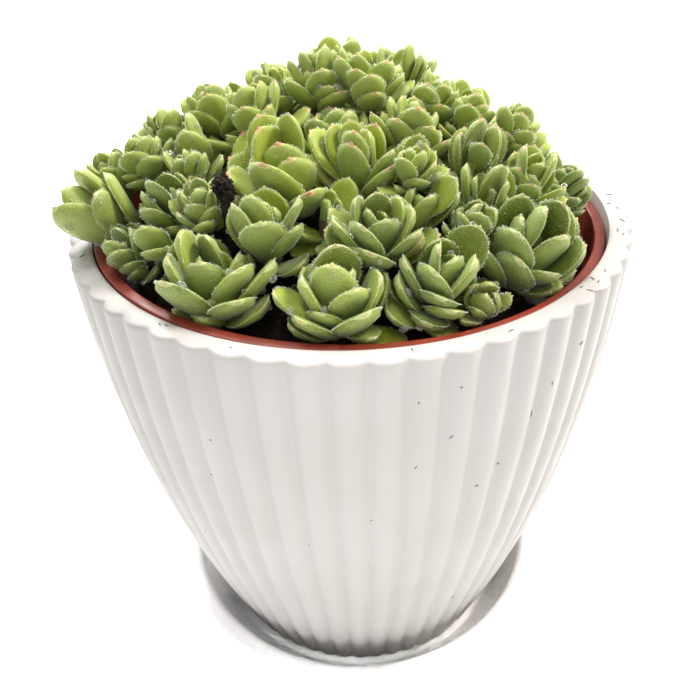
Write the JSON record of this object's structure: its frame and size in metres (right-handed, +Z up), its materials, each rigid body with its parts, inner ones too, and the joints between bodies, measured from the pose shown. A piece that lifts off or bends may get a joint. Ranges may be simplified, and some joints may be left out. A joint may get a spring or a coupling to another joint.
{
  "type": "potted rosularia",
  "caption": "Mound of fleshy leaf rosettes in a red nursery pot, set in a fluted white planter that stands on a round saucer.",
  "frame": {"origin": "middle of the flat face under the saucer", "axes": "+Z up along the planter's axis; +X to the right and +Y away from the viewer, as the picture shows the plant"},
  "size_m": [0.1394, 0.1394, 0.1755],
  "materials": {
    "saucer_white": "satin",
    "planter_white": "matt, faintly mottled",
    "nursery_pot_red": "satin",
    "soil_black": "rough, crumbly",
    "leaf_green": "fleshy, finely hairy",
    "scrap_black": "dry, crumbly"
  },
  "bodies": {
    "root": {"saucer": "saucer_white", "planter": "planter_white", "nursery_pot": "nursery_pot_red", "soil": "soil_black", "rosette_01": "leaf_green", "rosette_02": "leaf_green", "rosette_03": "leaf_green", "rosette_04": "leaf_green", "rosette_05": "leaf_green", "rosette_06": "leaf_green", "rosette_07": "leaf_green", "rosette_08": "leaf_green", "rosette_09": "leaf_green", "rosette_10": "leaf_green", "rosette_11": "leaf_green", "rosette_12": "leaf_green", "rosette_13": "leaf_green", "rosette_14": "leaf_green", "rosette_15": "leaf_green", "rosette_16": "leaf_green", "rosette_17": "leaf_green", "rosette_18": "leaf_green", "rosette_19": "leaf_green", "rosette_20": "leaf_green", "rosette_21": "leaf_green", "rosette_22": "leaf_green", "rosette_23": "leaf_green", "rosette_24": "leaf_green", "rosette_25": "leaf_green", "rosette_26": "leaf_green", "rosette_27": "leaf_green", "rosette_28": "leaf_green", "rosette_29": "leaf_green", "rosette_30": "leaf_green", "rosette_31": "leaf_green", "rosette_32": "leaf_green", "rosette_33": "leaf_green", "rosette_34": "leaf_green", "rosette_35": "leaf_green", "rosette_36": "leaf_green", "rosette_37": "leaf_green", "rosette_38": "leaf_green", "rosette_39": "leaf_green", "rosette_40": "leaf_green", "rosette_41": "leaf_green", "rosette_42": "leaf_green", "rosette_43": "leaf_green", "rosette_44": "leaf_green", "rosette_45": "leaf_green", "rosette_46": "leaf_green", "rosette_47": "leaf_green", "rosette_48": "leaf_green", "rosette_49": "leaf_green", "rosette_50": "leaf_green", "rosette_51": "leaf_green", "dried_scrap": "scrap_black"}
  },
  "joints": []
}
